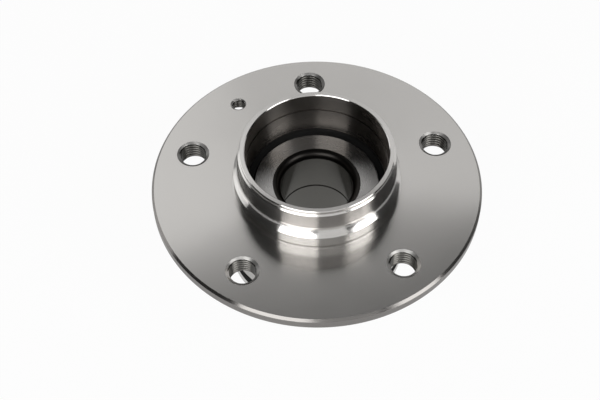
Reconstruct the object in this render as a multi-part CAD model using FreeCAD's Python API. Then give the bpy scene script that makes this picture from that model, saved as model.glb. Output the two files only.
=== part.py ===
import FreeCAD, Part

import math
import os
from dataclasses import dataclass
from typing import Optional, Tuple

# Wheel hub bearing with a rotating flanged outer ring. Lengths are in millimetres, angles in degrees.
# The origin is on the spin axis in the flange's wheel-side face, and +Z points to the wheel.

# Wheel bolt holes and brake disc screw hole
bolt_circle_radius = 55.0
first_bolt_angle = 90.0
bolt_count = 5
bolt_hole_radius = 6.0
bolt_mouth_bevel = 1.2
bolt_exit_bevel = 0.7
screw_hole_radius = 3.0
screw_hole_bevel = 0.5

# Wheel flange, which is thick inside the rim
flange_thickness = 9.5
rim_height = 5.2
rim_width = 3.4
rim_front_bevel = 1.0
rim_back_bevel = 0.6
bolt_land = 2.2
back_slope_width = 3.15
back_step_fillet = 1.2

# Raceways, balls and the shoulders beside them
outer_race_radius = 29.18
ball_diameter = 9.525
ball_clearance = 0.08
balls_per_row = 13
row_offset = 9.0
contact_angle = 35.0
race_relief = 0.19
outer_shoulder_height = 3.18
inner_shoulder_height = 3.53
inner_land_height = 0.53

# Inner rings, which meet at the split plane
inner_ring_face_depth = 2.0
inner_ring_wall = 3.926
axle_lead_in_radius = 3.0
split_bevel = 0.3

# Cages with snap pockets
cage_back = 6.4
cage_back_width = 1.5
cage_seal_gap = 1.4
cage_race_gap = 1.28
cage_ring_gap = 0.65
cage_finger_step = 1.3
cage_finger_reach = 1.8
cage_pocket_clearance = 0.15
cage_tip_bevel = 0.8

# Seals, each a cased rubber seal with a slinger on the inner ring
seal_depth = 5.0
seal_seat_step = 0.12
seal_seat_margin = 1.3
seal_sheet = 0.8
seal_nose_start = 0.4
seal_nose_bevel = 0.4
seal_case_start = 1.2
case_lip_room = 1.25
slinger_reach = 3.35
slinger_sleeve_length = 4.4
lip_gap = 0.12
lip_thickness = 0.4
lip_bevel = 0.3
axial_lip_inset = 0.3
axial_lip_lean = 0.3
nose_gap = 0.6

# Collar: brake disc spigot, wheel pilot, lip and the bore for the dust cap
spigot_height = 7.2
spigot_step = 2.4
spigot_bevel = 1.0
spigot_relief_depth = 0.4
spigot_relief_width = 0.9
flare_drop = 3.0
pilot_length = 8.2
pilot_lead_in = 0.6
lip_rise = 1.6
lip_wall = 2.2
lip_edge_bevel = 0.3
cavity_step = 0.15
cap_bore_step = 0.35
cap_bore_depth = 8.7
cap_groove_depth = 0.4
cap_groove_width = 0.5

# Boss behind the flange
boss_wall = 7.9
boss_shoulder_step = 2.3
boss_shoulder_bevel = 0.8
boss_draft = 2.0
boss_root_fillet = 4.0
boss_end_recess = 1.0
boss_end_bevel = 0.5

# Encoder ring on the boss
encoder_seat_length = 9.7
encoder_top_gap = 0.5
encoder_sheet = 1.0
encoder_band_thickness = 0.8
encoder_band_width = 5.6
encoder_rim_overlap = 0.6
encoder_hook = 1.2

# Bearing radii that follow, from the outer raceway inwards
race_radius = ball_diameter / 2 + ball_clearance + race_relief
race_shift_r = race_relief * math.cos(math.radians(contact_angle))
race_shift_z = race_relief * math.sin(math.radians(contact_angle))
pitch_radius = outer_race_radius - race_radius + race_shift_r
outer_shoulder_radius = outer_race_radius - outer_shoulder_height
inner_race_radius = pitch_radius + race_shift_r - race_radius
inner_shoulder_radius = inner_race_radius + inner_shoulder_height
inner_land_radius = inner_race_radius + inner_land_height
axle_bore_radius = inner_race_radius - inner_ring_wall
slinger_radius = inner_shoulder_radius + slinger_reach
cage_outer_radius = outer_race_radius - cage_race_gap
cage_back_inner_radius = inner_shoulder_radius + cage_ring_gap

# Hub radii that follow, from the outer raceway outwards
seal_seat_radius = outer_race_radius + seal_seat_step
cavity_radius = seal_seat_radius + cavity_step
cap_bore_radius = cavity_radius + cap_bore_step
lip_radius = cap_bore_radius + lip_wall
pilot_radius = lip_radius + pilot_lead_in
spigot_radius = pilot_radius + spigot_step
encoder_seat_radius = seal_seat_radius + boss_wall
encoder_sleeve_radius = encoder_seat_radius + encoder_sheet
encoder_radius = encoder_sleeve_radius + encoder_band_thickness
boss_end_radius = encoder_seat_radius + boss_shoulder_step
boss_root_radius = boss_end_radius + boss_draft
land_radius = bolt_circle_radius + bolt_hole_radius + bolt_land
flange_radius = land_radius + back_slope_width + rim_width

# Heights that follow
pilot_bottom = spigot_height + flare_drop
pilot_top = pilot_bottom + pilot_length
lip_height = pilot_top + lip_rise
inner_ring_width = row_offset + cage_back + cage_seal_gap + seal_depth
outboard_face = -inner_ring_face_depth
split_height = outboard_face - inner_ring_width
inboard_face = split_height - inner_ring_width
boss_end = inboard_face + boss_end_recess
boss_shoulder = boss_end + encoder_seat_length
encoder_top = boss_shoulder - encoder_top_gap
encoder_rim_bottom = boss_end - encoder_rim_overlap

OUTBOARD = 1
INBOARD = -1


@dataclass(frozen=True)
class Corner:
    """One corner of a turned section, at radius r and height z.

    A bevel or a fillet softens it. Where through is given, an arc by way of that radius and
    height leads to the corner from the one before, and otherwise a straight line does.
    """

    r: float
    z: float
    bevel: float = 0.0
    fillet: float = 0.0
    through: Optional[Tuple[float, float]] = None


def at(r, z):
    """Return the point at radius r and height z in the section plane."""
    return FreeCAD.Vector(r, 0.0, z)


def softened(before, corner, after):
    """Return the start, the end and, on a fillet, the middle of the edge that softens a corner."""
    point = at(corner.r, corner.z)
    back = (at(before.r, before.z) - point).normalize()
    ahead = (at(after.r, after.z) - point).normalize()
    if corner.fillet:
        half_angle = back.getAngle(ahead) / 2
        reach = corner.fillet / math.tan(half_angle)
        inward = (back + ahead).normalize()
        middle = point + inward * (corner.fillet / math.sin(half_angle) - corner.fillet)
        return point + back * reach, point + ahead * reach, middle
    return point + back * corner.bevel, point + ahead * corner.bevel, None


def turned(corners):
    """Return the solid that a closed section of corners sweeps round the Z axis."""
    count = len(corners)
    soft = [softened(corners[i - 1], corners[i], corners[(i + 1) % count]) for i in range(count)]
    edges = []
    for i, corner in enumerate(corners):
        leave = soft[i - 1][1]
        arrive, depart, middle = soft[i]
        if corner.through:
            edges.append(Part.Arc(leave, at(*corner.through), arrive).toShape())
        else:
            edges.append(Part.LineSegment(leave, arrive).toShape())
        if middle:
            edges.append(Part.Arc(arrive, middle, depart).toShape())
        elif corner.bevel:
            edges.append(Part.LineSegment(arrive, depart).toShape())
    face = Part.Face(Part.Wire(edges))
    solid = face.revolve(FreeCAD.Vector(), FreeCAD.Vector(0, 0, 1), 360)
    if solid.Volume < 0:
        solid.reverse()
    return solid


def placed_round(shape, radius, angle):
    """Return a copy of a shape moved out to a radius and turned to an angle about the Z axis."""
    copy = shape.copy()
    copy.translate(FreeCAD.Vector(radius, 0, 0))
    copy.rotate(FreeCAD.Vector(), FreeCAD.Vector(0, 0, 1), angle)
    return copy


def row_height(side):
    """Return the height of a ball row's centres."""
    return split_height + side * row_offset


def race_arc(side, ring, low_height, shoulder_height):
    """Return the two ends and the middle of a raceway groove's arc, as (r, z) pairs.

    The groove's circle is slightly larger than the ball and comes nearest to it on the contact line.
    ring is 1 for the outer ring's groove and -1 for the inner ring's. Each end is given by its
    height over the groove's bottom: the low side first, then the shoulder that takes the load.
    """
    centre_r = pitch_radius - ring * race_shift_r
    centre_z = row_height(side) + ring * side * race_shift_z
    low_turn = math.acos(1 - low_height / race_radius)
    high_turn = math.acos(1 - shoulder_height / race_radius)

    def on_groove(turn):
        r = centre_r + ring * race_radius * math.cos(turn)
        z = centre_z - ring * side * race_radius * math.sin(turn)
        return r, z

    return on_groove(-low_turn), on_groove((high_turn - low_turn) / 2), on_groove(high_turn)


def flange_drill(radius, mouth_bevel, exit_bevel):
    """Return the tool that cuts one hole through the flange with a bevel at each end.

    Below the flange it goes on as a counterbore as deep as the boss's fillet.
    """
    tool_end = -flange_thickness - boss_root_fillet
    return turned([
        Corner(0, mouth_bevel),
        Corner(radius + 2 * mouth_bevel, mouth_bevel),
        Corner(radius, -mouth_bevel),
        Corner(radius, exit_bevel - flange_thickness),
        Corner(radius + exit_bevel, -flange_thickness),
        Corner(radius + exit_bevel, tool_end),
        Corner(0, tool_end),
    ])


def collar_corners():
    """Return the collar's outline from the cap bore over the lip and down to the flange.

    The flare is an arc that leaves the pilot along its wall and ends at the spigot's bevel.
    """
    relief_radius = spigot_radius + spigot_relief_width
    flare_width = spigot_step - spigot_bevel
    flare_radius = (flare_width ** 2 + flare_drop ** 2) / (2 * flare_width)
    flare_turn = math.asin(flare_drop / flare_radius)

    def on_flare(turn):
        r = pilot_radius + flare_radius * (1 - math.cos(turn))
        z = pilot_bottom - flare_radius * math.sin(turn)
        return r, z

    return [
        Corner(cap_bore_radius, lip_height, bevel=lip_edge_bevel),
        Corner(lip_radius, lip_height, bevel=lip_edge_bevel),
        Corner(lip_radius, pilot_top),
        Corner(pilot_radius, pilot_top - pilot_lead_in),
        Corner(pilot_radius, pilot_bottom),
        Corner(*on_flare(flare_turn), through=on_flare(flare_turn / 2)),
        Corner(spigot_radius, spigot_height - spigot_bevel),
        Corner(spigot_radius, -spigot_relief_depth),
        Corner(relief_radius, -spigot_relief_depth),
        Corner(relief_radius, 0),
    ]


def flange_corners():
    """Return the flange's outline from its front rim to the foot of the boss."""
    return [
        Corner(flange_radius, 0, bevel=rim_front_bevel),
        Corner(flange_radius, -rim_height, bevel=rim_back_bevel),
        Corner(flange_radius - rim_width, -rim_height, fillet=back_step_fillet),
        Corner(land_radius, -flange_thickness, fillet=back_step_fillet),
        Corner(boss_root_radius, -flange_thickness, fillet=boss_root_fillet),
    ]


def boss_corners():
    """Return the boss's outline from its lower shoulder to the inboard seal seat."""
    return [
        Corner(boss_end_radius, boss_shoulder, bevel=boss_shoulder_bevel),
        Corner(encoder_seat_radius, boss_shoulder),
        Corner(encoder_seat_radius, boss_end, bevel=boss_end_bevel),
        Corner(seal_seat_radius, boss_end, bevel=boss_end_bevel),
    ]


def outer_race_corners(side):
    """Return the bore's outline across one ball row, from its seal seat to its shoulder."""
    seat_end = split_height + side * (inner_ring_width - seal_depth)
    low, middle, high = race_arc(side, 1, 0, outer_shoulder_height)
    return [
        Corner(seal_seat_radius, seat_end),
        Corner(outer_race_radius, seat_end),
        Corner(*low),
        Corner(*high, through=middle),
    ]


def reversed_corners(corners):
    """Return a run of corners in the other direction, with its arcs kept."""
    ways = [corner.through for corner in corners[1:]] + [None]
    return [
        Corner(corner.r, corner.z, corner.bevel, corner.fillet, way)
        for corner, way in zip(corners, ways)
    ][::-1]


def cavity_corners():
    """Return the collar's inside from the outboard seal seat up to the dust cap's snap groove."""
    groove_top = lip_height - cap_bore_depth
    groove_bottom = groove_top - cap_groove_width
    groove_radius = cap_bore_radius + cap_groove_depth
    floor = outboard_face + seal_seat_margin
    return [
        Corner(seal_seat_radius, floor),
        Corner(cavity_radius, floor),
        Corner(cavity_radius, groove_bottom),
        Corner(groove_radius, groove_bottom),
        Corner(groove_radius, groove_top),
        Corner(cap_bore_radius, groove_top),
    ]


def make_hub():
    """Return the hub: collar, flange and boss in one forging with both outer raceways."""
    section = collar_corners() + flange_corners() + boss_corners()
    section += outer_race_corners(INBOARD) + reversed_corners(outer_race_corners(OUTBOARD))
    section += cavity_corners()
    bolt_drill = flange_drill(bolt_hole_radius, bolt_mouth_bevel, bolt_exit_bevel)
    screw_drill = flange_drill(screw_hole_radius, screw_hole_bevel, screw_hole_bevel)
    bolt_pitch = 360 / bolt_count
    tools = [
        placed_round(bolt_drill, bolt_circle_radius, first_bolt_angle + bolt_pitch * i)
        for i in range(bolt_count)
    ]
    tools.append(placed_round(screw_drill, bolt_circle_radius, first_bolt_angle + bolt_pitch / 2))
    return turned(section).cut(Part.makeCompound(tools)).Solids[0]


def make_inner_ring(side):
    """Return one inner ring, whose outer end is its high shoulder."""
    face = split_height + side * inner_ring_width
    low, middle, high = race_arc(side, -1, inner_land_height, inner_shoulder_height)
    return turned([
        Corner(axle_bore_radius, face, fillet=axle_lead_in_radius),
        Corner(axle_bore_radius, split_height, bevel=split_bevel),
        Corner(inner_land_radius, split_height, bevel=split_bevel),
        Corner(*low),
        Corner(*high, through=middle),
        Corner(inner_shoulder_radius, face),
    ])


def ball_turn(side, number):
    """Return a ball's angle about the spin axis. The inboard row is half a pitch round."""
    pitch = 360 / balls_per_row
    half_pitch = 0 if side == OUTBOARD else pitch / 2
    return first_bolt_angle + half_pitch + pitch * number


def ball_at(radius, side, number):
    """Return a sphere of a radius at a ball's place."""
    sphere = Part.makeSphere(radius)
    sphere.translate(FreeCAD.Vector(0, 0, row_height(side)))
    return placed_round(sphere, pitch_radius, ball_turn(side, number))


def make_cage(side):
    """Return one cage: a solid back ring with fingers that snap round each ball's middle."""

    def height(distance):
        return row_height(side) + side * distance

    finger_inner_radius = cage_back_inner_radius - cage_finger_step
    neck = cage_back - cage_back_width
    blank = turned([
        Corner(cage_back_inner_radius, height(cage_back)),
        Corner(cage_outer_radius, height(cage_back), bevel=cage_tip_bevel / 2),
        Corner(cage_outer_radius, height(-cage_finger_reach), bevel=cage_tip_bevel),
        Corner(finger_inner_radius, height(-cage_finger_reach), bevel=cage_tip_bevel / 2),
        Corner(finger_inner_radius, height(neck - cage_finger_step)),
        Corner(cage_back_inner_radius, height(neck)),
    ])
    pocket_radius = ball_diameter / 2 + cage_pocket_clearance
    pockets = [ball_at(pocket_radius, side, number) for number in range(balls_per_row)]
    return blank.cut(Part.makeCompound(pockets)).Solids[0]


def seal_height(side, depth):
    """Return the height of a point of a seal that lies a depth inside the inner ring's face."""
    return split_height + side * (inner_ring_width - depth)


def make_seal_case(side):
    """Return a seal's pressed steel case, an L section that fits the hub's seal seat."""
    web_start = seal_depth - seal_sheet
    sleeve_inner = seal_seat_radius - seal_sheet
    web_inner = inner_shoulder_radius + seal_sheet + case_lip_room
    outline = [
        (seal_seat_radius, seal_case_start),
        (seal_seat_radius, seal_depth),
        (web_inner, seal_depth),
        (web_inner, web_start),
        (sleeve_inner, web_start),
        (sleeve_inner, seal_case_start),
    ]
    return turned([Corner(r, seal_height(side, depth)) for r, depth in outline])


def make_seal_lips(side):
    """Return a seal's rubber: nose, body, an axial lip and a radial lip in one moulding."""
    web_start = seal_depth - seal_sheet
    sleeve_inner = seal_seat_radius - seal_sheet
    nose_radius = slinger_radius + nose_gap
    sleeve_outer = inner_shoulder_radius + seal_sheet
    axial_tip = seal_sheet + lip_gap
    radial_tip = sleeve_outer + lip_gap
    body_top = web_start - seal_sheet
    axial_foot = slinger_radius - axial_lip_inset
    outline = [
        (nose_radius, seal_nose_start + seal_nose_bevel),
        (nose_radius + seal_nose_bevel, seal_nose_start),
        (seal_seat_radius, seal_nose_start),
        (seal_seat_radius, seal_case_start),
        (sleeve_inner, seal_case_start),
        (sleeve_inner, web_start),
        (radial_tip + lip_bevel, web_start),
        (radial_tip, web_start - lip_thickness),
        (radial_tip + lip_bevel, web_start - 2 * lip_thickness),
        (axial_foot - lip_thickness, body_top),
        (axial_foot - lip_thickness - axial_lip_lean, axial_tip),
        (axial_foot - axial_lip_lean, axial_tip),
        (axial_foot, body_top),
        (nose_radius, body_top),
    ]
    return turned([Corner(r, seal_height(side, depth)) for r, depth in outline])


def make_slinger(side):
    """Return a slinger: a pressed steel L section flush with the inner ring's face."""
    sleeve_outer = inner_shoulder_radius + seal_sheet
    outline = [
        (inner_shoulder_radius, 0),
        (slinger_radius, 0),
        (slinger_radius, seal_sheet),
        (sleeve_outer, seal_sheet),
        (sleeve_outer, slinger_sleeve_length),
        (inner_shoulder_radius, slinger_sleeve_length),
    ]
    return turned([Corner(r, seal_height(side, depth)) for r, depth in outline])


def make_encoder_carrier():
    """Return the encoder's steel carrier: a sleeve on the boss with a rim that hooks its end."""
    band_bottom = encoder_top - encoder_band_width
    hook_radius = encoder_seat_radius - encoder_hook
    return turned([
        Corner(encoder_seat_radius, encoder_top),
        Corner(encoder_sleeve_radius, encoder_top),
        Corner(encoder_sleeve_radius, band_bottom),
        Corner(encoder_radius, band_bottom),
        Corner(encoder_radius, encoder_rim_bottom, fillet=encoder_sheet / 2),
        Corner(hook_radius, encoder_rim_bottom),
        Corner(hook_radius, boss_end),
        Corner(encoder_seat_radius, boss_end),
    ])


def make_encoder_band():
    """Return the encoder's magnetised rubber band, bonded round the carrier's sleeve."""
    return turned([
        Corner(encoder_sleeve_radius, encoder_top),
        Corner(encoder_radius, encoder_top),
        Corner(encoder_radius, encoder_top - encoder_band_width),
        Corner(encoder_sleeve_radius, encoder_top - encoder_band_width),
    ])


def make_parts():
    """Return every piece by its name."""
    parts = {
        "hub": make_hub(),
        "encoder_carrier": make_encoder_carrier(),
        "encoder_band": make_encoder_band(),
    }
    for name, side in (("outboard", OUTBOARD), ("inboard", INBOARD)):
        parts[name + "_inner_ring"] = make_inner_ring(side)
        parts[name + "_cage"] = make_cage(side)
        parts[name + "_seal_case"] = make_seal_case(side)
        parts[name + "_seal_lips"] = make_seal_lips(side)
        parts[name + "_slinger"] = make_slinger(side)
        for number in range(balls_per_row):
            ball_name = f"{name}_ball_{number + 1:02d}"
            parts[ball_name] = ball_at(ball_diameter / 2, side, number)
    return parts


os.makedirs("parts", exist_ok=True)
for node, shape in make_parts().items():
    shape.exportStep(f"parts/{node}.step")
    print(f"{node}: valid {shape.isValid()}, solids {len(shape.Solids)}, volume {shape.Volume:.1f} mm3")
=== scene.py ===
import logging
import math
from dataclasses import dataclass, field, replace
from enum import Enum, IntEnum
from typing import Dict, List, Optional, Sequence, Tuple, Type

import bpy
import numpy as np
from mathutils import Matrix, Vector


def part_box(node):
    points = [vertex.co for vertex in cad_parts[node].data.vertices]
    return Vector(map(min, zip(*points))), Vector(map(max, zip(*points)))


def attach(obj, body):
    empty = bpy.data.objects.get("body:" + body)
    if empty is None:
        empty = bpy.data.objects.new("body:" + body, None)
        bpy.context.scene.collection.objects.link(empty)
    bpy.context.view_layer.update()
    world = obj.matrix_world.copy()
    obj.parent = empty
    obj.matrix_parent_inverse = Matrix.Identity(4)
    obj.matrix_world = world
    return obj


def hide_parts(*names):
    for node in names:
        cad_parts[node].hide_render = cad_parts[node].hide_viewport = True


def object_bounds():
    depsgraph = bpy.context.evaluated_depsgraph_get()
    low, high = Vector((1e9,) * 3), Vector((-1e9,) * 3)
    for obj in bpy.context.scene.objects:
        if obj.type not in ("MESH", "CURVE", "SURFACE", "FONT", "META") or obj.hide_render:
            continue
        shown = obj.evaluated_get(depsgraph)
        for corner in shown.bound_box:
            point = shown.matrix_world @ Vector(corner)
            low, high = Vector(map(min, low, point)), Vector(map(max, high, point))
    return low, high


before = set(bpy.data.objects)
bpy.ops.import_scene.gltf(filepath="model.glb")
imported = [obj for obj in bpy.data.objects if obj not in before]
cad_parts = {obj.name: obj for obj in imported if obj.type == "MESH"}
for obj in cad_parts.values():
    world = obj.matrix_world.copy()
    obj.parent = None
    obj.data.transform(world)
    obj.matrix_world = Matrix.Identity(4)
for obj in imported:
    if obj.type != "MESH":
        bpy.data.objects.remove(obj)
cad_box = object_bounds()

log = logging.getLogger("wheel_hub_bearing")

Point = Tuple[float, float]
Colour = Tuple[float, float, float]
Piece = bpy.types.Object
Material = bpy.types.Material
Socket = bpy.types.NodeSocket

# Lengths are in millimetres until a mesh is made of them
METRES = 0.001
ROUND_STEPS = 360
ARC_STEP = math.radians(9)
SHARP_EDGE = math.radians(30)
# The share of a fillet's radius that its two flat holding strips are wide
HOLD_SHARE = 0.05
# Most of a noise texture's values lie between these
NOISE_LOW = 0.3
NOISE_HIGH = 0.7
# The turn of the anisotropy that spreads reflections across the marks
QUARTER_TURN = 0.25
# An area lamp of one square metre with this power looks as bright as white
WATTS_PER_GLOW = 4.0


class Row(Enum):
    """The two ball rows, by the side of the split plane that they lie on."""

    OUTBOARD = 1
    INBOARD = -1

    @property
    def label(self) -> str:
        """Return the row's word in the names of its pieces."""
        return self.name.lower()


class Zone(IntEnum):
    """The surfaces of the hub, by the order of their finishes on its mesh."""

    WALL = 0
    PILOT = 1
    FACE = 2
    RIM = 3
    BACK = 4
    RACE = 5
    CAVITY = 6
    THREAD = 7
    BEVEL = 8


class RingZone(IntEnum):
    """The surfaces of an inner ring, by the order of their finishes on its mesh."""

    GROUND = 0
    BORE = 1
    # SCALE colours the lead-in and the split bevels nearly black; on the split bevels it is painted shade
    # in the groove where the rings meet.
    SCALE = 2


@dataclass(frozen=True)
class Corner:
    """One corner of a turned section, in millimetres.

    A bevel or a fillet softens it. With through, an arc by way of that point leads to the
    corner from the one before. zone numbers the finish of the surface that leads to it, and
    soft_zone that of the bevel or fillet, where it has one of its own.
    """

    r: float
    z: float
    bevel: float = 0.0
    fillet: float = 0.0
    through: Optional[Point] = None
    zone: int = 0
    soft_zone: Optional[int] = None


def arc_points(start: np.ndarray, through: np.ndarray, end: np.ndarray) -> np.ndarray:
    """Return points along the circle's arc from start by way of through to end.

    The centre is where the two chords' middle lines meet. The points' angles about it are
    evenly spaced, at most ARC_STEP apart.

    Args:
        start: The arc's first point, as (r, z).
        through: A point between the ends.
        end: The arc's last point.

    Returns:
        An array of (r, z) points with both ends.
    """
    chords = np.array([through - start, end - through])
    middles = np.array([start + through, through + end]) / 2
    centre = np.linalg.solve(chords, (chords * middles).sum(axis=1))
    arms = np.array([start, through, end]) - centre
    angles = np.unwrap(np.arctan2(arms[:, 1], arms[:, 0]))
    count = max(2, math.ceil(abs(angles[2] - angles[0]) / ARC_STEP))
    turns = np.linspace(angles[0], angles[2], count + 1)
    radius = np.linalg.norm(arms[0])
    points = centre + radius * np.column_stack([np.cos(turns), np.sin(turns)])
    points[0] = start
    points[-1] = end
    return points


def softened(before: Corner, corner: Corner, after: Corner) -> Tuple[np.ndarray, np.ndarray]:
    """Return the points that take a corner's place and the narrow ones that hold its shading.

    Args:
        before: The corner before it.
        corner: The corner, with its bevel or fillet.
        after: The corner after it.

    Returns:
        The points as an array, and for each whether the corner's own rounding leads to it.
    """
    point = np.array([corner.r, corner.z])
    back = np.array([before.r, before.z]) - point
    ahead = np.array([after.r, after.z]) - point
    back = back / np.linalg.norm(back)
    ahead = ahead / np.linalg.norm(ahead)
    if corner.bevel:
        ends = np.array([point + back * corner.bevel, point + ahead * corner.bevel])
        return ends, np.array([False, True])
    if corner.fillet:
        half = math.acos(float(np.clip(back @ ahead, -1, 1))) / 2
        reach = corner.fillet / math.tan(half)
        inward = (back + ahead) / np.linalg.norm(back + ahead)
        middle = point + inward * corner.fillet * (1 / math.sin(half) - 1)
        arc = arc_points(point + back * reach, middle, point + ahead * reach)
        hold = corner.fillet * HOLD_SHARE
        points = np.vstack([arc[0] + back * hold, arc, arc[-1] + ahead * hold])
        rounding = np.ones(len(points), bool)
        rounding[0] = False
        return points, rounding
    return point[None, :], np.array([False])


def section(corners: Sequence[Corner]) -> Tuple[np.ndarray, np.ndarray]:
    """Return a closed section's points and, for each, the zone of the surface that leads to it.

    A bevel or a fillet with no zone of its own has that of the surface after it.

    Args:
        corners: The section's corners in order, clockwise with r to the right and z up.

    Returns:
        The points as (r, z) rows in millimetres, and the zone numbers.
    """
    count = len(corners)
    soft = [softened(corners[i - 1], corners[i], corners[(i + 1) % count]) for i in range(count)]
    points: List[np.ndarray] = []
    zones: List[np.ndarray] = []
    for i, corner in enumerate(corners):
        own, rounding = soft[i]
        if corner.through:
            arc = arc_points(soft[i - 1][0][-1], np.array(corner.through), own[0])[1:-1]
            points.append(arc)
            zones.append(np.full(len(arc), corner.zone))
        points.append(own)
        soft_zone = corners[(i + 1) % count].zone if corner.soft_zone is None else corner.soft_zone
        zones.append(np.where(rounding, soft_zone, corner.zone))
    return np.vstack(points), np.concatenate(zones)


def clockwise(corners: List[Corner]) -> List[Corner]:
    """Return a closed run of corners in clockwise order, its arcs and zones kept on their spans.

    The shoelace sum, which is twice the enclosed area, is negative for a clockwise run.

    Args:
        corners: The corners in either order.

    Returns:
        The same corners, or a copy of them in the other order.
    """
    ring = np.array([(corner.r, corner.z) for corner in corners])
    after = np.roll(ring, -1, axis=0)
    area = (ring[:, 0] * after[:, 1] - after[:, 0] * ring[:, 1]).sum()
    if area < 0:
        return corners
    ways = [corner.through for corner in corners]
    ways = ways[1:] + ways[:1]
    zones = [corner.zone for corner in corners]
    zones = zones[1:] + zones[:1]
    shifted = zip(corners, ways, zones)
    return [replace(corner, through=way, zone=zone) for corner, way, zone in shifted][::-1]


def lathe(name: str, corners: Sequence[Corner], steps: int = ROUND_STEPS) -> Piece:
    """Return the mesh that a closed section sweeps round the spin axis.

    A point is (r cos a, r sin a, z) for each section point (r, z) and each angle a of the grid,
    and each face joins two neighbours along the section and two round it.

    Args:
        name: The object's name.
        corners: The section's corners in either order. They are taken clockwise, so that the
            faces look outwards.
        steps: The number of angles.

    Returns:
        The object, with the zone of each face as its material index.
    """
    points, zones = section(clockwise(list(corners)))
    angles = np.linspace(0, 2 * math.pi, steps, endpoint=False)
    r = points[:, 0:1] * METRES
    z = points[:, 1:2] * METRES
    z = np.broadcast_to(z, (len(points), steps))
    grid = np.stack([r * np.cos(angles), r * np.sin(angles), z], axis=-1)
    row = np.arange(len(points))[:, None]
    column = np.arange(steps)[None, :]
    after = (row - 1) % len(points)
    turn = (column + 1) % steps
    faces = np.stack(
        [row * steps + column, row * steps + turn, after * steps + turn, after * steps + column], axis=-1
    )
    quads = faces.reshape(-1, 4).tolist()
    return mesh_object(name, grid.reshape(-1, 3), quads, np.repeat(zones, steps))


def mesh_object(
    name: str, points: np.ndarray, faces: List[List[int]], zones: Optional[np.ndarray] = None
) -> Piece:
    """Return a linked, smooth-shaded object made of points and faces.

    Args:
        name: The object's name.
        points: One row (x, y, z) in metres for each point.
        faces: The point numbers of each face.
        zones: The material index of each face, or None where there is one finish.

    Returns:
        The object at the origin, its edges sharp where its faces turn by more than SHARP_EDGE.
    """
    mesh = bpy.data.meshes.new(name)
    mesh.from_pydata(points.tolist(), [], faces)
    if zones is not None:
        mesh.polygons.foreach_set("material_index", zones.astype(np.int32))
    smooth(mesh)
    return linked(name, mesh)


def linked(name: str, data: bpy.types.ID) -> Piece:
    """Return a new object of the scene that holds some data."""
    made = bpy.data.objects.new(name, data)
    bpy.context.scene.collection.objects.link(made)
    return made


def smooth(mesh: bpy.types.Mesh) -> None:
    """Shade a mesh smooth with its sharp edges kept."""
    mesh.polygons.foreach_set("use_smooth", np.ones(len(mesh.polygons), bool))
    mesh.set_sharp_from_angle(angle=SHARP_EDGE)
    mesh.update()


def dimmed(colour: Colour, share: float = 1.0) -> Tuple[float, float, float, float]:
    """Return an opaque colour with its brightness changed by a share."""
    return (*(min(1.0, part * share) for part in colour), 1.0)


class Nodes:
    """A material's node tree with short ways to add and join its nodes."""

    def __init__(self, name: str) -> None:
        """Make the material and clear its tree down to the output."""
        self.material = bpy.data.materials.new(name)
        self.material.use_nodes = True
        self.tree = self.material.node_tree
        self.tree.nodes.clear()
        self.output = self.tree.nodes.new("ShaderNodeOutputMaterial")

    def add(self, kind: str, **settings: object) -> bpy.types.Node:
        """Return a new node of a kind with its settings."""
        node = self.tree.nodes.new(kind)
        for setting, value in settings.items():
            setattr(node, setting, value)
        return node

    def feed(self, target: Socket, value: object) -> None:
        """Set a socket to a number or a colour, or link it to another socket."""
        if isinstance(value, Socket):
            self.tree.links.new(value, target)
        else:
            target.default_value = value

    def math(self, operation: str, *values: object) -> Socket:
        """Return the result of a Math node on numbers or sockets."""
        node = self.add("ShaderNodeMath", operation=operation)
        for target, value in zip(node.inputs, values):
            self.feed(target, value)
        return node.outputs[0]

    def vector(self, x: object, y: object, z: object) -> Socket:
        """Return a vector put together from three numbers or sockets."""
        node = self.add("ShaderNodeCombineXYZ")
        for target, value in zip(node.inputs, (x, y, z)):
            self.feed(target, value)
        return node.outputs[0]

    def noise(self, where: Socket, scale: float, detail: float) -> Socket:
        """Return a noise texture's value at a place."""
        node = self.add("ShaderNodeTexNoise")
        self.feed(node.inputs["Vector"], where)
        self.feed(node.inputs["Scale"], scale)
        self.feed(node.inputs["Detail"], detail)
        return node.outputs["Fac"]

    def ranged(self, noise: Socket, low: float, high: float) -> Socket:
        """Return a noise's value spread from low to high."""
        node = self.add("ShaderNodeMapRange")
        for target, value in zip(node.inputs, (noise, NOISE_LOW, NOISE_HIGH, low, high)):
            self.feed(target, value)
        return node.outputs["Result"]

    def toned(self, noise: Socket, colour: Colour, low: float, high: float) -> Socket:
        """Return a colour whose brightness a noise spreads from one share of it to another."""
        node = self.add("ShaderNodeMix", data_type="RGBA")
        self.feed(node.inputs[0], self.ranged(noise, 0.0, 1.0))
        self.feed(node.inputs[6], dimmed(colour, low))
        self.feed(node.inputs[7], dimmed(colour, high))
        return node.outputs[2]


class Surface(Nodes):
    """The nodes of one principled shader, with the Object coordinates as place."""

    def __init__(self, name: str) -> None:
        """Make the material with its shader and its coordinates."""
        super().__init__(name)
        self.shader = self.add("ShaderNodeBsdfPrincipled")
        self.feed(self.output.inputs["Surface"], self.shader.outputs[0])
        self.place = self.add("ShaderNodeTexCoord").outputs["Object"]

    def give(self, **values: object) -> None:
        """Feed the shader's sockets. A keyword is a socket's name with its spaces as _."""
        for name, value in values.items():
            self.feed(self.shader.inputs[name.replace("_", " ")], value)

    def tilt(self, height: Socket, strength: float, depth: float) -> None:
        """Tilt the surface by a bump of a depth in millimetres."""
        bump = self.add("ShaderNodeBump")
        self.feed(bump.inputs["Strength"], strength)
        self.feed(bump.inputs["Distance"], depth * METRES)
        self.feed(bump.inputs["Height"], height)
        self.give(Normal=bump.outputs[0])


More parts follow.
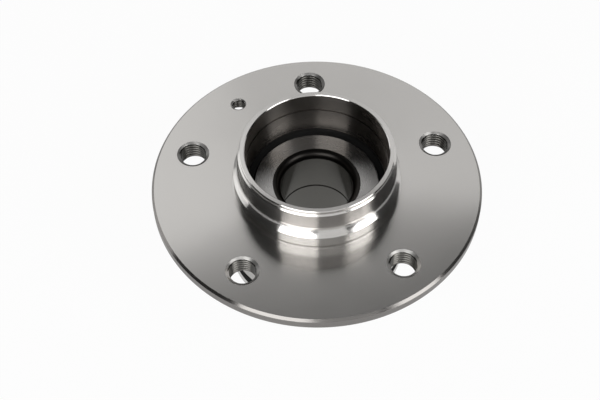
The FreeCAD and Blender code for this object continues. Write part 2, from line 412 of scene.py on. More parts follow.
@dataclass(frozen=True)
class Turned:
    """Bare steel with the rings that a turning tool or a grinding wheel leaves round its axis.

    The marks are noise over radius and height, broken up by scratches that change with the
    direction about the axis. They tilt the surface and vary its tone and roughness a little,
    and soft blotches vary the roughness once more. The surface spreads reflections across the
    marks, so its tangent runs round the axis.
    """

    name: str
    colour: Colour
    roughness: float
    anisotropy: float
    mark_pitch: float
    mark_depth: float
    mark_strength: float
    tone_spread: float = 0.02
    mark_gloss_spread: float = 0.03
    blotch_gloss_spread: float = 0.04
    ring_share: float = 0.7
    scratch_scale: float = 1.7
    scratch_climb: float = 2.3
    blotch_scale: float = 60.0

    def make(self) -> Material:
        """Return the material."""
        nodes = Surface(self.name)
        parts = nodes.add("ShaderNodeSeparateXYZ")
        nodes.feed(parts.inputs[0], nodes.place)
        x, y, z = parts.outputs
        squares = nodes.math("ADD", nodes.math("MULTIPLY", x, x), nodes.math("MULTIPLY", y, y))
        radius = nodes.math("SQRT", squares)
        count = 1 / (self.mark_pitch * METRES)
        outward = nodes.math("MULTIPLY", radius, count)
        upward = nodes.math("MULTIPLY", z, count)
        rings = nodes.noise(nodes.vector(outward, upward, 0.0), scale=1.0, detail=3.0)
        around = nodes.vector(
            nodes.math("ADD", nodes.math("DIVIDE", x, radius), outward),
            nodes.math("ADD", nodes.math("DIVIDE", y, radius), upward),
            nodes.math("MULTIPLY", radius, self.scratch_climb * count),
        )
        scratches = nodes.noise(around, self.scratch_scale, detail=2.0)
        marks = nodes.math(
            "ADD",
            nodes.math("MULTIPLY", rings, self.ring_share),
            nodes.math("MULTIPLY", scratches, 1 - self.ring_share),
        )
        blotches = nodes.noise(nodes.place, self.blotch_scale, detail=3.0)
        swing = self.roughness * self.blotch_gloss_spread
        mark_low = self.roughness * (1 - self.mark_gloss_spread)
        mark_high = self.roughness * (1 + self.mark_gloss_spread)
        nodes.give(
            Metallic=1.0,
            Anisotropic=self.anisotropy,
            Anisotropic_Rotation=QUARTER_TURN,
            Base_Color=nodes.toned(marks, self.colour, 1 - self.tone_spread, 1 + self.tone_spread),
            Roughness=nodes.math(
                "ADD", nodes.ranged(blotches, -swing, swing), nodes.ranged(marks, mark_low, mark_high)
            ),
            Tangent=self.tangent(nodes, x, y),
        )
        nodes.tilt(marks, self.mark_strength, self.mark_depth)
        return nodes.material

    def tangent(self, nodes: Nodes, x: Socket, y: Socket) -> Socket:
        """Return the direction round the axis, in world space and of unit length.

        Args:
            nodes: The material's nodes.
            x: The place along X.
            y: The place along Y.

        Returns:
            The vector (-y, x, 0), turned with the object and normalised.
        """
        turn = nodes.add("ShaderNodeVectorTransform")
        turn.vector_type = "VECTOR"
        turn.convert_from = "OBJECT"
        turn.convert_to = "WORLD"
        nodes.feed(turn.inputs[0], nodes.vector(nodes.math("MULTIPLY", y, -1.0), x, 0.0))
        unit = nodes.add("ShaderNodeVectorMath", operation="NORMALIZE")
        nodes.feed(unit.inputs[0], turn.outputs[0])
        return unit.outputs[0]


@dataclass(frozen=True)
class Plain:
    """Steel with no turning marks: pressed sheet, a lapped ball or a countersink.

    Fine grain tilts the surface, and soft patches vary its tone and roughness.
    """

    name: str
    colour: Colour
    roughness: float
    grain: float
    grain_depth: float
    grain_strength: float = 0.3
    patch_scale: float = 180.0
    tone_spread: float = 0.05
    gloss_low: float = 0.85
    gloss_high: float = 1.2

    def make(self) -> Material:
        """Return the material."""
        nodes = Surface(self.name)
        grain = nodes.noise(nodes.place, 1 / (self.grain * METRES), detail=3.0)
        patches = nodes.noise(nodes.place, self.patch_scale, detail=2.0)
        low, high = self.roughness * self.gloss_low, self.roughness * self.gloss_high
        nodes.give(
            Metallic=1.0,
            Base_Color=nodes.toned(patches, self.colour, 1 - self.tone_spread, 1 + self.tone_spread),
            Roughness=nodes.ranged(patches, low, high),
        )
        nodes.tilt(grain, self.grain_strength, self.grain_depth)
        return nodes.material


@dataclass(frozen=True)
class Moulded:
    """Moulded rubber or polyamide with a fine mould texture and slightly uneven gloss."""

    name: str
    colour: Colour
    roughness: float
    grain: float
    grain_depth: float
    gloss: float = 0.5
    grain_strength: float = 0.4
    patch_scale: float = 140.0
    tone_low: float = 0.8
    tone_high: float = 1.3
    gloss_low: float = 0.85
    gloss_high: float = 1.1

    def make(self) -> Material:
        """Return the material."""
        nodes = Surface(self.name)
        grain = nodes.noise(nodes.place, 1 / (self.grain * METRES), detail=4.0)
        patches = nodes.noise(nodes.place, self.patch_scale, detail=3.0)
        low, high = self.roughness * self.gloss_low, self.roughness * self.gloss_high
        nodes.give(
            Specular_IOR_Level=self.gloss,
            Base_Color=nodes.toned(patches, self.colour, self.tone_low, self.tone_high),
            Roughness=nodes.ranged(grain, low, high),
        )
        nodes.tilt(grain, self.grain_strength, self.grain_depth)
        return nodes.material


def node_reach(node: str) -> Tuple[float, float, float]:
    """Return a node's outer radius, lowest height and highest height in millimetres."""
    low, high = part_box(node)
    return max(high.x, high.y, -low.x, -low.y) / METRES, low.z / METRES, high.z / METRES


@dataclass
class Bearing:
    """The sizes that several pieces share: raceways, split plane, seal seat and bore."""

    outer_race_radius: float = 29.18
    ball_diameter: float = 9.525
    ball_clearance: float = 0.08
    race_relief: float = 0.19
    row_offset: float = 9.0
    contact_angle: float = math.radians(35)
    outer_shoulder_height: float = 3.18
    inner_shoulder_height: float = 3.53
    inner_land_height: float = 0.53
    inner_ring_wall: float = 3.926
    seal_depth: float = 5.0
    seal_seat_step: float = 0.12
    race_radius: float = field(init=False)
    race_shift_r: float = field(init=False)
    race_shift_z: float = field(init=False)
    pitch_radius: float = field(init=False)
    inner_race_radius: float = field(init=False)
    inner_shoulder_radius: float = field(init=False)
    axle_bore_radius: float = field(init=False)
    seal_seat_radius: float = field(init=False)
    outboard_face: float = field(init=False)
    inboard_face: float = field(init=False)
    split_height: float = field(init=False)

    def __post_init__(self) -> None:
        """Work out the radii that follow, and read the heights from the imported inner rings."""
        self.race_radius = self.ball_diameter / 2 + self.ball_clearance + self.race_relief
        self.race_shift_r = self.race_relief * math.cos(self.contact_angle)
        self.race_shift_z = self.race_relief * math.sin(self.contact_angle)
        self.pitch_radius = self.outer_race_radius - self.race_radius + self.race_shift_r
        self.inner_race_radius = self.pitch_radius + self.race_shift_r - self.race_radius
        self.inner_shoulder_radius = self.inner_race_radius + self.inner_shoulder_height
        self.axle_bore_radius = self.inner_race_radius - self.inner_ring_wall
        self.seal_seat_radius = self.outer_race_radius + self.seal_seat_step
        self.outboard_face = node_reach("outboard_inner_ring")[2]
        self.inboard_face = node_reach("inboard_inner_ring")[1]
        self.split_height = (self.outboard_face + self.inboard_face) / 2

    @property
    def ring_width(self) -> float:
        """Return the width of one inner ring."""
        return self.outboard_face - self.split_height

    def height(self, row: Row, distance: float) -> float:
        """Return the height at a distance outwards from the split plane on a row's side."""
        return self.split_height + row.value * distance

    def race_arc(self, row: Row, ring: int, low: float, shoulder: float) -> Tuple[Point, Point, Point]:
        """Return the two ends and the middle of a raceway groove's arc.

        The groove is a circle of race_radius whose centre lies off the balls' path by the
        relief along the contact line. A point's height over the bottom gives its angle.

        Args:
            row: The ball row.
            ring: 1 for the hub's groove and -1 for the inner ring's.
            low: The height of the groove's low end over its bottom.
            shoulder: The height of the end at the shoulder that takes the load.

        Returns:
            The low end, the middle and the shoulder end as (r, z).
        """
        centre_r = self.pitch_radius - ring * self.race_shift_r
        centre_z = self.height(row, self.row_offset) + ring * row.value * self.race_shift_z
        low_turn = -math.acos(1 - low / self.race_radius)
        high_turn = math.acos(1 - shoulder / self.race_radius)
        turns = (low_turn, (low_turn + high_turn) / 2, high_turn)
        low_end, middle, high_end = [
            (
                centre_r + ring * self.race_radius * math.cos(turn),
                centre_z - ring * row.value * self.race_radius * math.sin(turn),
            )
            for turn in turns
        ]
        return low_end, middle, high_end


def turned_round(corners: Sequence[Corner]) -> List[Corner]:
    """Return an open run of corners in the other direction, with its arcs kept on their spans."""
    ways = [corner.through for corner in corners[1:]] + [None]
    return [replace(corner, through=way) for corner, way in zip(corners, ways)][::-1]


@dataclass
class ThreadedHole:
    """A threaded hole through the flange, made as the solid that is cut out of it.

    A recess, where it has one, widens it from behind up to recess_start under the face.
    """

    radius: float
    pitch: float
    mouth_bevel: float
    exit_bevel: float
    circle_radius: float
    angle: float
    recess_radius: float = 0.0
    recess_start: float = 0.0
    top: float = 1.0
    rows_per_pitch: int = 16
    round_steps: int = 72
    bottom_flat: float = 0.125
    crest_flat: float = 0.4375
    half_thread_angle: float = math.radians(30)
    half_mouth_angle: float = math.radians(57)

    def wall(self, phase: np.ndarray, z: np.ndarray, flange_back: float) -> Tuple[np.ndarray, np.ndarray]:
        """Return the wall's radius and zone where the thread has a phase and the height is z.

        It is the largest of the thread, the mouth's cone, the exit's cone and the recess. The
        thread has 60 degree flanks. It is flat for an eighth of the pitch at its bottom, and the
        drill has cut off its crest.

        Args:
            phase: The share of a pitch from the thread's crest, from 0 to 1.
            z: The height.
            flange_back: The height of the flange's back at the hole.

        Returns:
            The radii in millimetres, and the zone numbers: BEVEL on the mouth's cone.
        """
        flank = (1 - self.bottom_flat - self.crest_flat) / 2
        depth = flank * self.pitch / math.tan(self.half_thread_angle)
        wave = np.clip((self.bottom_flat / 2 + flank - np.abs(phase - 0.5)) / flank, 0.0, 1.0)
        thread = self.radius - depth + depth * wave
        mouth = self.radius + self.mouth_bevel + z * math.tan(self.half_mouth_angle)
        leave = self.radius + self.exit_bevel - (z - flange_back)
        cones = np.minimum(np.maximum(mouth, leave), self.radius + 2 * self.mouth_bevel)
        recess = np.where(z < -self.recess_start, self.recess_radius, 0.0)
        zones = np.where(mouth > thread, Zone.BEVEL, Zone.THREAD)
        return np.maximum(np.maximum(thread, cones), recess), zones

    def cutter(self, flange_back: float) -> Piece:
        """Return the solid that cuts the hole.

        The grid's rows climb with the thread: row k at angle a has the height top - k step +
        pitch a / 2 pi and the phase k / rows_per_pitch. After a full turn a row meets the one
        that started a pitch higher, and the first rows get seam points of their own there. A
        fan closes each end.

        Args:
            flange_back: The height of the flange's back at the hole.

        Returns:
            The closed object, in place.
        """
        steps = self.round_steps
        turn_rows = self.rows_per_pitch
        step = self.pitch / turn_rows
        low = flange_back - self.top
        rows = math.ceil((self.top + self.pitch - low) / step)
        k = np.concatenate([np.repeat(np.arange(rows + 1), steps), np.arange(turn_rows)])
        share = np.concatenate([np.tile(np.arange(steps) / steps, rows + 1), np.ones(turn_rows)])
        a = share * 2 * math.pi
        z = self.top - k * step + self.pitch * share
        r, zones = self.wall(np.mod(k, turn_rows) / turn_rows, z, flange_back)
        turn = math.radians(self.angle)
        centre = self.circle_radius * np.array([math.cos(turn), math.sin(turn)])
        walls = np.column_stack([centre[0] + r * np.cos(a), centre[1] + r * np.sin(a), z])
        ends = np.array([[*centre, self.top + self.pitch], [*centre, z.min()]])
        points = np.vstack([walls, ends]) * METRES

        grid = np.arange((rows + 1) * steps).reshape(rows + 1, steps)
        seam = np.concatenate([grid.size + np.arange(turn_rows), grid[:, 0]])
        wide = np.column_stack([grid, seam[:rows + 1]])
        quads = np.stack([wide[:-1, :-1], wide[1:, :-1], wide[1:, 1:], wide[:-1, 1:]], axis=-1)
        top_edge = np.concatenate([grid[0], seam[:turn_rows]])
        low_edge = np.concatenate([grid[-1], seam[rows:rows + turn_rows]])
        top_centre = np.full(len(top_edge), len(points) - 2)
        low_centre = np.full(len(low_edge), len(points) - 1)
        caps = np.vstack([
            np.column_stack([top_centre, top_edge, np.roll(top_edge, -1)]),
            np.column_stack([low_centre, np.roll(low_edge, -1), low_edge]),
        ])
        mesh = bpy.data.meshes.new("hole_cutter")
        mesh.from_pydata(points.tolist(), [], quads.reshape(-1, 4).tolist() + caps.tolist())
        cap_zones = np.full(len(caps), Zone.THREAD)
        face_zones = np.concatenate([zones[quads[..., 1].ravel()], cap_zones])
        mesh.polygons.foreach_set("material_index", face_zones)
        return linked("hole_cutter", mesh)


@dataclass
class Hub:
    """The turned and ground forging: collar, flange, boss and both outer raceways."""

    bearing: Bearing
    bolt_circle_radius: float = 55.0
    first_bolt_angle: float = 90.0
    bolt_count: int = 5
    bolt_hole_radius: float = 6.0
    bolt_thread_pitch: float = 1.5
    bolt_mouth_bevel: float = 0.95
    bolt_exit_bevel: float = 0.7
    screw_hole_radius: float = 3.0
    screw_thread_pitch: float = 1.0
    screw_hole_bevel: float = 0.5
    screw_recess_radius: float = 6.6
    screw_recess_start: float = 4.8
    screw_hole_steps: int = 48
    flange_thickness: float = 9.5
    rim_height: float = 5.2
    rim_width: float = 3.4
    rim_front_bevel: float = 1.0
    rim_back_bevel: float = 0.6
    land_width: float = 8.2
    back_step_fillet: float = 1.2
    spigot_height: float = 7.2
    spigot_step: float = 2.4
    spigot_bevel: float = 1.0
    spigot_relief_depth: float = 0.4
    spigot_relief_width: float = 0.9
    flare_drop: float = 3.0
    pilot_lead_in: float = 0.6
    lip_rise: float = 1.6
    lip_wall: float = 2.2
    lip_edge_bevel: float = 0.3
    cavity_step: float = 0.15
    cap_bore_step: float = 0.35
    cap_bore_depth: float = 8.7
    cap_groove_depth: float = 0.4
    cap_groove_width: float = 0.5
    seal_seat_margin: float = 1.3
    boss_wall: float = 7.9
    boss_shoulder_step: float = 2.3
    boss_shoulder_bevel: float = 0.8
    boss_draft: float = 2.0
    boss_root_fillet: float = 4.0
    boss_end_recess: float = 1.0
    boss_end_bevel: float = 0.5
    encoder_seat_length: float = 9.7

    @property
    def boss_seat(self) -> float:
        """Return the radius of the encoder's seat on the boss."""
        return self.bearing.seal_seat_radius + self.boss_wall

    @property
    def boss_end(self) -> float:
        """Return the height of the boss's inboard end."""
        return self.bearing.inboard_face + self.boss_end_recess

    def collar(self) -> List[Corner]:
        """Return the collar's outline from the cap bore over the lip to the relief at its foot.

        The flare is an arc that leaves the pilot upright and goes out by width over its drop, so
        its radius is (width^2 + drop^2) / (2 width) and it turns by asin(drop / radius).
        """
        bearing = self.bearing
        top = node_reach("hub")[2]
        bore = bearing.seal_seat_radius + self.cavity_step + self.cap_bore_step
        lip = bore + self.lip_wall
        pilot = lip + self.pilot_lead_in
        spigot = pilot + self.spigot_step
        pilot_top = top - self.lip_rise
        pilot_bottom = self.spigot_height + self.flare_drop
        width = self.spigot_step - self.spigot_bevel
        flare = (width ** 2 + self.flare_drop ** 2) / (2 * width)
        turn = math.asin(self.flare_drop / flare)
        middle = (pilot + flare * (1 - math.cos(turn / 2)), pilot_bottom - flare * math.sin(turn / 2))
        relief = spigot + self.spigot_relief_width
        return [
            Corner(bore, top, bevel=self.lip_edge_bevel, zone=Zone.CAVITY),
            Corner(lip, top, bevel=self.lip_edge_bevel, zone=Zone.WALL),
            Corner(lip, pilot_top, zone=Zone.WALL),
            Corner(pilot, pilot_top - self.pilot_lead_in, zone=Zone.WALL),
            Corner(pilot, pilot_bottom, zone=Zone.PILOT),
            Corner(pilot + width, self.spigot_height, through=middle, zone=Zone.WALL),
            Corner(spigot, self.spigot_height - self.spigot_bevel, zone=Zone.WALL),
            Corner(spigot, -self.spigot_relief_depth, zone=Zone.WALL),
            Corner(relief, -self.spigot_relief_depth, zone=Zone.WALL),
            Corner(relief, 0.0, zone=Zone.WALL),
        ]

    def flange(self) -> List[Corner]:
        """Return the flange's outline from its front rim to the foot of the boss."""
        reach = node_reach("hub")[0]
        land = self.bolt_circle_radius + self.land_width
        root = self.boss_seat + self.boss_shoulder_step + self.boss_draft
        return [
            Corner(reach, 0.0, bevel=self.rim_front_bevel, zone=Zone.FACE),
            Corner(reach, -self.rim_height, bevel=self.rim_back_bevel, zone=Zone.RIM),
            Corner(reach - self.rim_width, -self.rim_height, fillet=self.back_step_fillet, zone=Zone.BACK),
            Corner(land, -self.flange_thickness, fillet=self.back_step_fillet, zone=Zone.BACK),
            Corner(root, -self.flange_thickness, fillet=self.boss_root_fillet, zone=Zone.BACK),
        ]

    def boss(self) -> List[Corner]:
        """Return the boss's outline from its lower shoulder to the inboard seal seat."""
        bearing = self.bearing
        end = self.boss_end
        shoulder = end + self.encoder_seat_length
        seat = self.boss_seat
        widest = seat + self.boss_shoulder_step
        return [
            Corner(widest, shoulder, bevel=self.boss_shoulder_bevel, zone=Zone.BACK),
            Corner(seat, shoulder, zone=Zone.BACK),
            Corner(seat, end, bevel=self.boss_end_bevel, zone=Zone.BACK),
            Corner(bearing.seal_seat_radius, end, bevel=self.boss_end_bevel, zone=Zone.BACK),
        ]

    def race(self, row: Row) -> List[Corner]:
        """Return the bore's outline across one ball row, from its seal seat to its shoulder."""
        bearing = self.bearing
        seat_end = bearing.height(row, bearing.ring_width - bearing.seal_depth)
        low, middle, high = bearing.race_arc(row, 1, 0.0, bearing.outer_shoulder_height)
        return [
            Corner(bearing.seal_seat_radius, seat_end, zone=Zone.RACE),
            Corner(bearing.outer_race_radius, seat_end, zone=Zone.RACE),
            Corner(*low, zone=Zone.RACE),
            Corner(*high, through=middle, zone=Zone.RACE),
        ]

    def cavity(self) -> List[Corner]:
        """Return the collar's inside from the outboard seal seat up to the cap's snap groove."""
        bearing = self.bearing
        wall = bearing.seal_seat_radius + self.cavity_step
        bore = wall + self.cap_bore_step
        groove = bore + self.cap_groove_depth
        groove_top = node_reach("hub")[2] - self.cap_bore_depth
        groove_bottom = groove_top - self.cap_groove_width
        floor = bearing.outboard_face + self.seal_seat_margin
        return [
            Corner(bearing.seal_seat_radius, floor, zone=Zone.RACE),
            Corner(wall, floor, zone=Zone.CAVITY),
            Corner(wall, groove_bottom, zone=Zone.CAVITY),
            Corner(groove, groove_bottom, zone=Zone.CAVITY),
            Corner(groove, groove_top, zone=Zone.CAVITY),
            Corner(bore, groove_top, zone=Zone.CAVITY),
        ]

    def holes(self) -> List[ThreadedHole]:
        """Return the five wheel bolt holes and the brake disc screw's hole."""
        pitch = 360 / self.bolt_count
        bolt_holes = [
            ThreadedHole(
                self.bolt_hole_radius,
                self.bolt_thread_pitch,
                self.bolt_mouth_bevel,
                self.bolt_exit_bevel,
                self.bolt_circle_radius,
                self.first_bolt_angle + pitch * i,
            )
            for i in range(self.bolt_count)
        ]
        screw_hole = ThreadedHole(
            self.screw_hole_radius,
            self.screw_thread_pitch,
            self.screw_hole_bevel,
            self.screw_hole_bevel,
            self.bolt_circle_radius,
            self.first_bolt_angle + pitch / 2,
            self.screw_recess_radius,
            self.screw_recess_start,
            round_steps=self.screw_hole_steps,
        )
        return bolt_holes + [screw_hole]

    def build(self) -> Piece:
        """Return the hub with its threaded holes cut."""
        corners = self.collar() + self.flange() + self.boss()
        corners += self.race(Row.INBOARD) + turned_round(self.race(Row.OUTBOARD)) + self.cavity()
        body = lathe("hub_forging", corners)
        drills = [hole.cutter(-self.flange_thickness) for hole in self.holes()]
        cut(body, drills)
        return body

    def dress(self, finishes: Dict[Zone, Material]) -> None:
        """Build the hub in its node's place, with each zone's finish."""
        install(self.build(), "hub", "hub", "machined_steel", *[finishes[zone] for zone in Zone])


def cut(body: Piece, tools: List[Piece]) -> None:
    """Cut tools out of a body for good. The new faces keep the tools' zones.

    Args:
        body: The object that is cut.
        tools: The closed objects that are taken away, and removed afterwards.
    """
    for tool in tools:
        modifier = body.modifiers.new("cut", "BOOLEAN")
        modifier.operation = "DIFFERENCE"
        modifier.solver = "EXACT"
        modifier.material_mode = "INDEX"
        modifier.object = tool
    graph = bpy.context.evaluated_depsgraph_get()
    cut_mesh = bpy.data.meshes.new_from_object(body.evaluated_get(graph))
    body.modifiers.clear()
    old = body.data
    body.data = cut_mesh
    bpy.data.meshes.remove(old)
    body.data.name = body.name
    for tool in tools:
        mesh = tool.data
        bpy.data.objects.remove(tool)
        bpy.data.meshes.remove(mesh)
    smooth(body.data)


@dataclass
class InnerRing:
    """One of the two inner rings, which meet at the split plane."""

    bearing: Bearing
    row: Row
    lead_in: float = 3.0
    split_bevel: float = 0.5

    def build(self) -> Piece:
        """Return the ring: face, rounded lead-in, bore, land, groove and shoulder.

        The lead-in and the split bevels are coloured nearly black. On the split bevels that is painted
        shade in the groove where the two rings meet.
        """
        bearing = self.bearing
        face = bearing.height(self.row, bearing.ring_width)
        low, middle, high = bearing.race_arc(
            self.row, -1, bearing.inner_land_height, bearing.inner_shoulder_height
        )
        bore = bearing.axle_bore_radius
        split = bearing.split_height
        land = bearing.inner_race_radius + bearing.inner_land_height
        corners = [
            # The lead-in and the split bevels take the nearly black finish, on the split bevels as painted
            # shade.
            Corner(bore, face, fillet=self.lead_in, soft_zone=RingZone.SCALE),
            Corner(bore, split, bevel=self.split_bevel, zone=RingZone.BORE, soft_zone=RingZone.SCALE),
            Corner(land, split, bevel=self.split_bevel, soft_zone=RingZone.SCALE),
            Corner(*low),
            Corner(*high, through=middle),
            Corner(bearing.inner_shoulder_radius, face),
        ]
        return lathe(f"{self.row.label}_race_ring", corners)

    def dress(self, finishes: Dict[RingZone, Material]) -> None:
        """Build the ring in its node's place, with each zone's finish."""
        materials = [finishes[zone] for zone in RingZone]
        install(self.build(), f"{self.row.label}_inner_ring", "axle_side", "ground_steel", *materials)


@dataclass
class Seal:
    """One seal: rubber lips in the hub's seat and a slinger on the inner ring."""

    bearing: Bearing
    row: Row
    sheet: float = 0.8
    nose_start: float = 0.4
    nose_fillet: float = 0.4
    case_start: float = 1.2
    case_lip_room: float = 1.25
    case_fillet: float = 0.4
    slinger_fillet: float = 0.16
    slinger_reach: float = 3.35
    sleeve_length: float = 4.4
    lip_gap: float = 0.12
    lip_thickness: float = 0.4
    lip_bevel: float = 0.3
    axial_lip_inset: float = 0.3
    axial_lip_lean: float = 0.3
    nose_gap: float = 0.6
    round_steps: int = 240

    def at_depth(self, r: float, depth: float, **softening: float) -> Corner:
        """Return a corner at a depth below the inner ring's face."""
        return Corner(r, self.bearing.height(self.row, self.bearing.ring_width - depth), **softening)

    def build_lips(self) -> Piece:
        """Return the rubber with its rounded nose, body, axial lip and radial lip."""
        bearing = self.bearing
        web = bearing.seal_depth - self.sheet
        sleeve = bearing.seal_seat_radius - self.sheet
        slinger = bearing.inner_shoulder_radius + self.slinger_reach
        nose = slinger + self.nose_gap
        radial_tip = bearing.inner_shoulder_radius + self.sheet + self.lip_gap
        axial_tip = self.sheet + self.lip_gap
        body_top = web - self.sheet
        foot = slinger - self.axial_lip_inset
        corners = [
            self.at_depth(nose, self.nose_start, fillet=self.nose_fillet),
            self.at_depth(bearing.seal_seat_radius, self.nose_start),
            self.at_depth(bearing.seal_seat_radius, self.case_start),
            self.at_depth(sleeve, self.case_start),
            self.at_depth(sleeve, web),
            self.at_depth(radial_tip + self.lip_bevel, web),
            self.at_depth(radial_tip, web - self.lip_thickness),
            self.at_depth(radial_tip + self.lip_bevel, web - 2 * self.lip_thickness),
            self.at_depth(foot - self.lip_thickness, body_top),
            self.at_depth(foot - self.lip_thickness - self.axial_lip_lean, axial_tip),
            self.at_depth(foot - self.axial_lip_lean, axial_tip),
            self.at_depth(foot, body_top),
            self.at_depth(nose, body_top),
        ]
        return lathe(f"{self.row.label}_seal_rubber", corners, self.round_steps)

    def build_case(self) -> Piece:
        """Return the pressed case, an L section with a rounded outer bend."""
        bearing = self.bearing
        seat = bearing.seal_seat_radius
        depth = bearing.seal_depth
        web = bearing.inner_shoulder_radius + self.sheet + self.case_lip_room
        corners = [
            self.at_depth(seat, self.case_start),
            self.at_depth(seat, depth, fillet=self.case_fillet),
            self.at_depth(web, depth),
            self.at_depth(web, depth - self.sheet),
            self.at_depth(seat - self.sheet, depth - self.sheet),
            self.at_depth(seat - self.sheet, self.case_start),
        ]
        return lathe(f"{self.row.label}_seal_shell", corners, self.round_steps)

    def build_slinger(self) -> Piece:
        """Return the pressed slinger, with the small rounded edges of sheet metal."""
        bearing = self.bearing
        shoulder = bearing.inner_shoulder_radius
        sleeve = shoulder + self.sheet
        outer = shoulder + self.slinger_reach
        corners = [
            self.at_depth(shoulder, 0.0),
            self.at_depth(outer, 0.0, fillet=self.slinger_fillet),
            self.at_depth(outer, self.sheet, fillet=self.slinger_fillet),
            self.at_depth(sleeve, self.sheet),
            self.at_depth(sleeve, self.sleeve_length),
            self.at_depth(shoulder, self.sleeve_length),
        ]
        return lathe(f"{self.row.label}_slinger_ring", corners)

    def dress(self, rubber: Material, ground: Material, pressed: Material) -> None:
        """Build and finish the rubber, the case and the slinger in their nodes' places.

        Args:
            rubber: The lips' finish.
            ground: The slinger's finish.
            pressed: The case's finish.
        """
        label = self.row.label
        install(self.build_lips(), f"{label}_seal_lips", "hub", "seal_rubber", rubber)
        install(self.build_case(), f"{label}_seal_case", "hub", "pressed_steel", pressed)
        install(self.build_slinger(), f"{label}_slinger", "axle_side", "ground_steel", ground)


@dataclass
class Encoder:
    """The wheel speed encoder: a pressed steel carrier on the boss with a rubber band round it."""

    hub: Hub
    sheet: float = 1.0
    band_thickness: float = 0.8
    band_width: float = 5.6
    hook: float = 1.2
    step_bevel: float = 1 / 6
    rim_fillet: float = 0.5
    hook_bevel: float = 0.125
    band_fillet: float = 0.2

    def build_carrier(self) -> Piece:
        """Return the carrier: sleeve, rounded rim and the hook under the boss."""
        seat = self.hub.boss_seat
        sleeve = seat + self.sheet
        outer = sleeve + self.band_thickness
        low, high = node_reach("encoder_carrier")[1:]
        band_bottom = high - self.band_width
        end = self.hub.boss_end
        corners = [
            Corner(seat, high),
            Corner(sleeve, high),
            Corner(sleeve, band_bottom),
            Corner(outer, band_bottom, bevel=self.step_bevel),
            Corner(outer, low, fillet=self.rim_fillet),
            Corner(seat - self.hook, low, bevel=self.hook_bevel),
            Corner(seat - self.hook, end),
            Corner(seat, end),
        ]
        return lathe("encoder_rim", corners)

    def build_band(self) -> Piece:
        """Return the rubber band, its free edges slightly rounded."""
        sleeve = self.hub.boss_seat + self.sheet
        outer = sleeve + self.band_thickness
        low, high = node_reach("encoder_band")[1:]
        corners = [
            Corner(sleeve, high),
            Corner(outer, high, fillet=self.band_fillet),
            Corner(outer, low),
            Corner(sleeve, low),
        ]
        return lathe("encoder_rubber_band", corners)

    def dress(self, steel: Material, rubber: Material) -> None:
        """Build and finish the carrier and the band in their nodes' places."""
        install(self.build_carrier(), "encoder_carrier", "hub", "pressed_steel", steel)
        install(self.build_band(), "encoder_band", "hub", "encoder_rubber", rubber)


@dataclass
class BallRow:
    """One row of balls with the cage that keeps them apart."""

    bearing: Bearing
    row: Row
    count: int = 13
    first_angle: float = math.radians(90)
    round_steps: int = 48
    height_steps: int = 24

    def ball(self, number: int) -> Piece:
        """Return one ball as a grid over its two angles.

        A point lies radius times (sin p cos a, sin p sin a, cos p) from the ball's middle, where
        p is the angle from the upper pole and a the angle round it. Each pole is one point.

        Args:
            number: The ball's place in the row, from 0.

        Returns:
            The closed ball.
        """
        bearing = self.bearing
        pitch = 2 * math.pi / self.count
        half = 0.0 if self.row is Row.OUTBOARD else pitch / 2
        turn = self.first_angle + half + pitch * number
        middle = np.array([
            bearing.pitch_radius * math.cos(turn),
            bearing.pitch_radius * math.sin(turn),
            bearing.height(self.row, bearing.row_offset),
        ])
        p = np.linspace(0, math.pi, self.height_steps + 1)[1:-1, None]
        a = np.linspace(0, 2 * math.pi, self.round_steps, endpoint=False)[None, :]
        x, y, z = np.sin(p) * np.cos(a), np.sin(p) * np.sin(a), np.cos(p) * np.ones_like(a)
        grid = np.stack([x, y, z], axis=-1)
        points = np.vstack([grid.reshape(-1, 3), [[0, 0, 1], [0, 0, -1]]])
        points = (middle + points * bearing.ball_diameter / 2) * METRES
        steps = self.round_steps
        row = np.arange(self.height_steps - 2)[:, None] * steps
        column = np.arange(steps)[None, :]
        turned = (column + 1) % steps
        bands = np.stack([row + column, row + steps + column, row + steps + turned, row + turned], axis=-1)
        last = (self.height_steps - 2) * steps
        column, turned = column[0], turned[0]
        north = np.column_stack([np.full(steps, len(points) - 2), column, turned])
        south = np.column_stack([np.full(steps, len(points) - 1), last + turned, last + column])
        faces = bands.reshape(-1, 4).tolist() + north.tolist() + south.tolist()
        return mesh_object(f"{self.row.label}_rolling_ball_{number + 1:02d}", points, faces)

    def dress(self, lapped: Material, polyamide: Material) -> None:
        """Build and finish the balls in their nodes' places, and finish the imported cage.

        Args:
            lapped: The balls' finish.
            polyamide: The cage's finish.
        """
        for number in range(self.count):
            node = f"{self.row.label}_ball_{number + 1:02d}"
            install(self.ball(number), node, node, "polished_balls", lapped)
        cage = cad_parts[f"{self.row.label}_cage"]
        cage.data.materials.clear()
        cage.data.materials.append(polyamide)


def install(piece: Piece, node: str, body: str, slot: str, *materials: Material) -> None:
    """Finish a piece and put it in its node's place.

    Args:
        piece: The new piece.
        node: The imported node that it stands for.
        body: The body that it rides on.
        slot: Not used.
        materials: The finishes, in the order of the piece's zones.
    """
    for material in materials:
        piece.data.materials.append(material)
    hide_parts(node)
    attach(piece, body)
    log.info("%s: %d faces", piece.name, len(piece.data.polygons))


